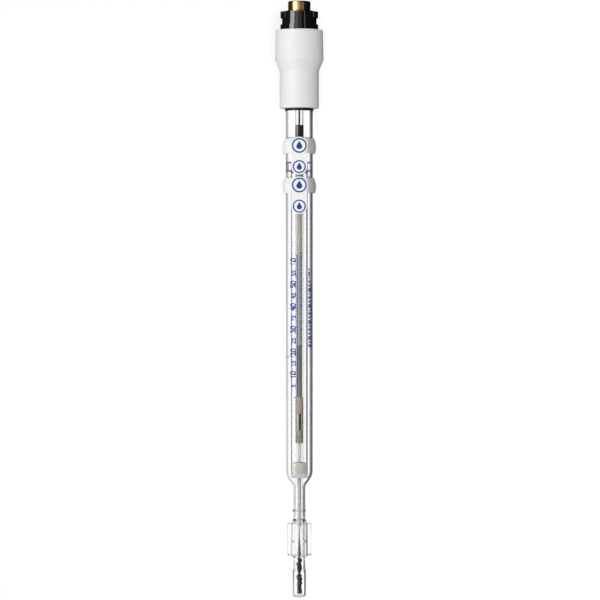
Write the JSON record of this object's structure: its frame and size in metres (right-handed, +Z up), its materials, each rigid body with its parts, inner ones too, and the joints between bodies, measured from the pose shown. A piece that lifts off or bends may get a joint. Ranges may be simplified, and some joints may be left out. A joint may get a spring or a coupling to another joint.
{
  "type": "laboratory pH electrode",
  "caption": "Combined glass pH electrode with a plug-in head, silicone filling port closures and a ground glass sleeve junction, lying on its side.",
  "frame": {"origin": "on the resting plane, at the middle of the bounding box's base", "axes": "+Y along the electrode towards its head, +Z up out of the filling ports, +X to the right seen from above with the head away"},
  "size_m": [0.0214, 0.2648, 0.0216],
  "materials": {
    "clear_glass": "clear, fire polished",
    "sensing_glass": "clear, thin",
    "white_plastic": "satin",
    "black_plastic": "semi-gloss",
    "brass": "turned, lightly polished",
    "silicone": "milky, soft",
    "black_rubber": "matt",
    "black_sheath": "satin",
    "potting_resin": "cast",
    "insulator": "satin",
    "khaki_plastic": "satin",
    "olive_plastic": "satin",
    "beige_plastic": "satin",
    "striped_plastic": "black stripes along it",
    "grey_plastic": "satin",
    "core_glass": "clear",
    "cream_filling": "matt",
    "porous_plug": "porous, translucent",
    "plug_cement": "matt grey",
    "silver": "drawn wire",
    "black_chloride": "rough black coating on silver"
  },
  "bodies": {
    "electrode": {"glass_body": "clear_glass", "inner_tube": "clear_glass", "stem_tube": "clear_glass", "membrane_tip": "sensing_glass", "head_shell": "white_plastic", "connector_collar": "black_plastic", "contact_ring": "brass", "centre_contact": "brass", "contact_insulator": "insulator", "ring_lead": "black_sheath", "head_potting": "potting_resin", "head_seal": "black_rubber", "signal_lead": "black_sheath", "shrink_sleeve": "black_rubber", "core_insulation": "khaki_plastic", "core_screen": "olive_plastic", "splice_sleeve": "beige_plastic", "reference_cartridge": "striped_plastic", "cartridge_plug": "grey_plastic", "core_tube": "core_glass", "core_filling": "cream_filling", "lead_rod": "beige_plastic", "junction_plug": "porous_plug", "plug_disc": "plug_cement", "element_wire": "silver", "sensing_element": "black_chloride"},
    "upper_closure": {"upper_closure": "silicone"},
    "lower_closure": {"lower_closure": "silicone"},
    "ground_sleeve": {"ground_sleeve": "clear_glass"}
  },
  "joints": [
    {"name": "upper_closure_turn", "type": "hinge", "parent": "electrode", "child": "upper_closure", "pos_m": [0, 0.06794, 0.00981], "axis": [0, 0.9997, 0.0245], "continuous": true},
    {"name": "lower_closure_turn", "type": "hinge", "parent": "electrode", "child": "lower_closure", "pos_m": [0, 0.05045, 0.00938], "axis": [0, 0.9997, 0.0245], "continuous": true},
    {"name": "ground_sleeve_slide", "type": "slide", "parent": "electrode", "child": "ground_sleeve", "axis": [0, 0.9997, 0.0245], "range_m": [0, 0.0174]}
  ]
}
